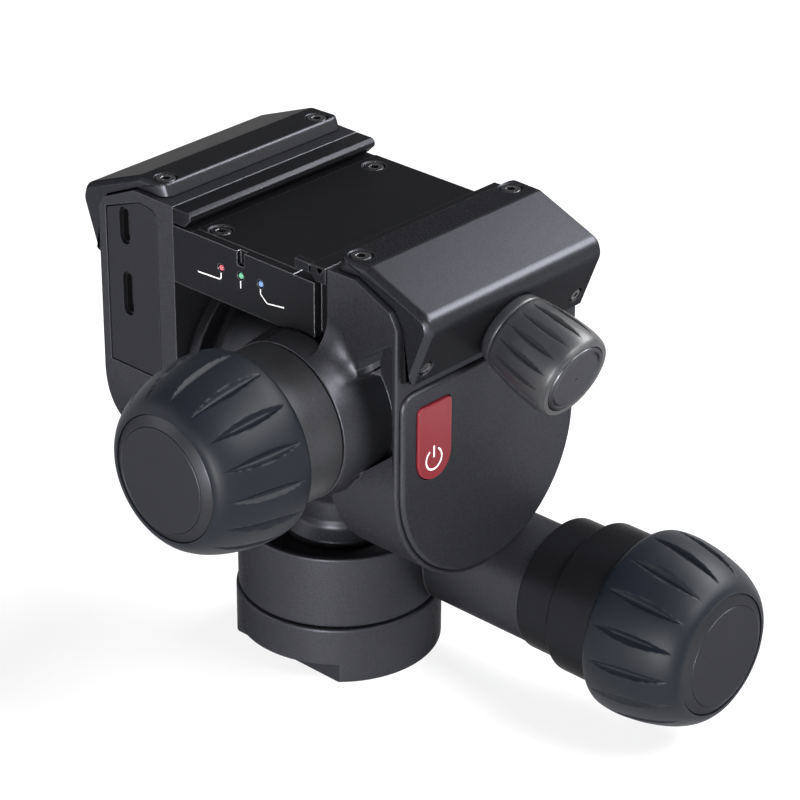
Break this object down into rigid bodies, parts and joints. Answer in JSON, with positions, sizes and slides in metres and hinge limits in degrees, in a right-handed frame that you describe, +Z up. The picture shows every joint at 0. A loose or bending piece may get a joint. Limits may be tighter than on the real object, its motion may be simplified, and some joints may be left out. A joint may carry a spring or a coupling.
{
  "type": "electric camera gimbal head",
  "caption": "Motorised pan and tilt camera head: round base, side arm with a rubber knob, tilting twin cases, and a dovetail clamp on top.",
  "frame": {"origin": "centre of the base's flat underside, on the pan axis, where the tripod's screw enters", "axes": "+X across the clamp towards its screw knob, +Y along the clamp's channel away from the lamp bar, +Z up along the pan axis"},
  "size_m": [0.1542, 0.113, 0.1167],
  "materials": {
    "casting": "satin charcoal anodised casting",
    "turned": "black anodised, turned",
    "rubber": "dark navy rubber",
    "satin": "satin dark grey",
    "plastic": "black moulded plastic",
    "red": "red moulded button",
    "steel": "machined steel",
    "brass": "machined brass",
    "board": "circuit board",
    "lamp_red": "clear red lens",
    "lamp_green": "clear green lens",
    "lamp_blue": "clear blue lens"
  },
  "bodies": {
    "base": {"base_ring": "turned", "thread_insert": "steel", "pan_bearing": "steel", "pan_spindle": "steel", "pan_worm_wheel": "brass"},
    "pan_stage": {"pan_housing": "casting", "pan_motor": "steel", "arm_collar": "turned", "pan_lock_barrel": "turned", "neck_head": "casting", "tilt_shaft": "steel", "tilt_worm_wheel": "brass"},
    "pan_worm": {"pan_worm": "steel"},
    "pan_knob": {"pan_knob_grip": "rubber", "pan_knob_core": "plastic", "pan_knob_ring": "satin", "pan_knob_disc": "satin"},
    "cases": {"right_case": "casting", "right_cover": "casting", "left_case": "casting", "left_cover": "casting", "tilt_bearing_left": "steel", "tilt_bearing_right": "steel", "barrel_collar": "turned", "tilt_motor": "steel", "clamp_bed": "casting", "fixed_jaw": "casting", "lamp_red": "lamp_red", "lamp_green": "lamp_green", "lamp_blue": "lamp_blue", "left_hood": "casting", "right_hood": "casting", "left_hood_screw_front": "steel", "left_hood_screw_rear": "steel", "right_hood_screw_front": "steel", "right_hood_screw_rear": "steel", "side_screw_front": "steel", "side_screw_rear": "steel", "bed_screw_front": "steel", "bed_screw_rear": "steel", "clamp_boss": "casting", "port_panel": "plastic", "usb_socket": "steel", "hdmi_socket": "steel", "battery_pack": "plastic", "port_board": "board", "main_board": "board"},
    "tilt_knob": {"tilt_knob_grip": "rubber", "tilt_knob_core": "plastic", "tilt_knob_ring": "satin", "tilt_knob_disc": "satin"},
    "tilt_worm": {"tilt_worm": "steel"},
    "tilt_pinion": {"tilt_pinion": "brass"},
    "clamp_knob": {"clamp_knob_grip": "rubber", "clamp_knob_disc": "satin", "clamp_screw": "steel"},
    "moving_jaw": {"moving_jaw": "casting"},
    "clamp_nut": {"clamp_nut": "brass"},
    "power_button": {"power_button": "red"}
  },
  "joints": [
    {"name": "pan", "type": "hinge", "parent": "base", "child": "pan_stage", "pos_m": [0, 0, 0.0147], "axis": [0, 0, 1], "continuous": true},
    {"name": "pan_worm_spin", "type": "hinge", "parent": "pan_stage", "child": "pan_worm", "pos_m": [0, 0.0173, 0.0252], "axis": [1, 0, 0], "continuous": true},
    {"name": "pan_knob_turn", "type": "hinge", "parent": "pan_stage", "child": "pan_knob", "pos_m": [0.0764, 0.0185, 0.0268], "axis": [1, 0, 0], "range_deg": [0, 180]},
    {"name": "tilt", "type": "hinge", "parent": "pan_stage", "child": "cases", "pos_m": [0, 0, 0.066], "axis": [1, 0, 0], "range_deg": [-45, 45]},
    {"name": "tilt_worm_spin", "type": "hinge", "parent": "cases", "child": "tilt_worm", "pos_m": [0.0306, 0, 0.0772], "axis": [0, 1, 0], "range_deg": [-1810, 1810]},
    {"name": "tilt_pinion_spin", "type": "hinge", "parent": "cases", "child": "tilt_pinion", "pos_m": [0.0185, -0.0332, 0.0772], "axis": [0, 1, 0], "range_deg": [-1340, 1340]},
    {"name": "tilt_knob_turn", "type": "hinge", "parent": "cases", "child": "tilt_knob", "pos_m": [0.0185, -0.0493, 0.0772], "axis": [0, -1, 0], "range_deg": [0, 180]},
    {"name": "clamp_knob_turn", "type": "hinge", "parent": "cases", "child": "clamp_knob", "pos_m": [0.0698, 0, 0.0919], "axis": [0.9511, 0, -0.309], "range_deg": [-1363, 0]},
    {"name": "jaw_slide", "type": "slide", "parent": "cases", "child": "moving_jaw", "axis": [1, 0, 0], "range_m": [-0.0045, 0]},
    {"name": "nut_slide", "type": "slide", "parent": "cases", "child": "clamp_nut", "axis": [0.9511, 0, -0.309], "range_m": [-0.00474, 0]},
    {"name": "button_press", "type": "slide", "parent": "cases", "child": "power_button", "axis": [1, 0, 0], "range_m": [-0.0005, 0], "stiffness_N_per_m": 800}
  ],
  "couplings": [
    {"joint": "pan_worm_spin", "follows": "pan", "ratio": 40},
    {"joint": "tilt_worm_spin", "follows": "tilt", "ratio": 40},
    {"joint": "tilt_pinion_spin", "follows": "tilt", "ratio": -29.64},
    {"joint": "jaw_slide", "follows": "clamp_knob_turn", "m_per_rad": 0.00018916},
    {"joint": "nut_slide", "follows": "clamp_knob_turn", "m_per_rad": 0.0001989}
  ]
}
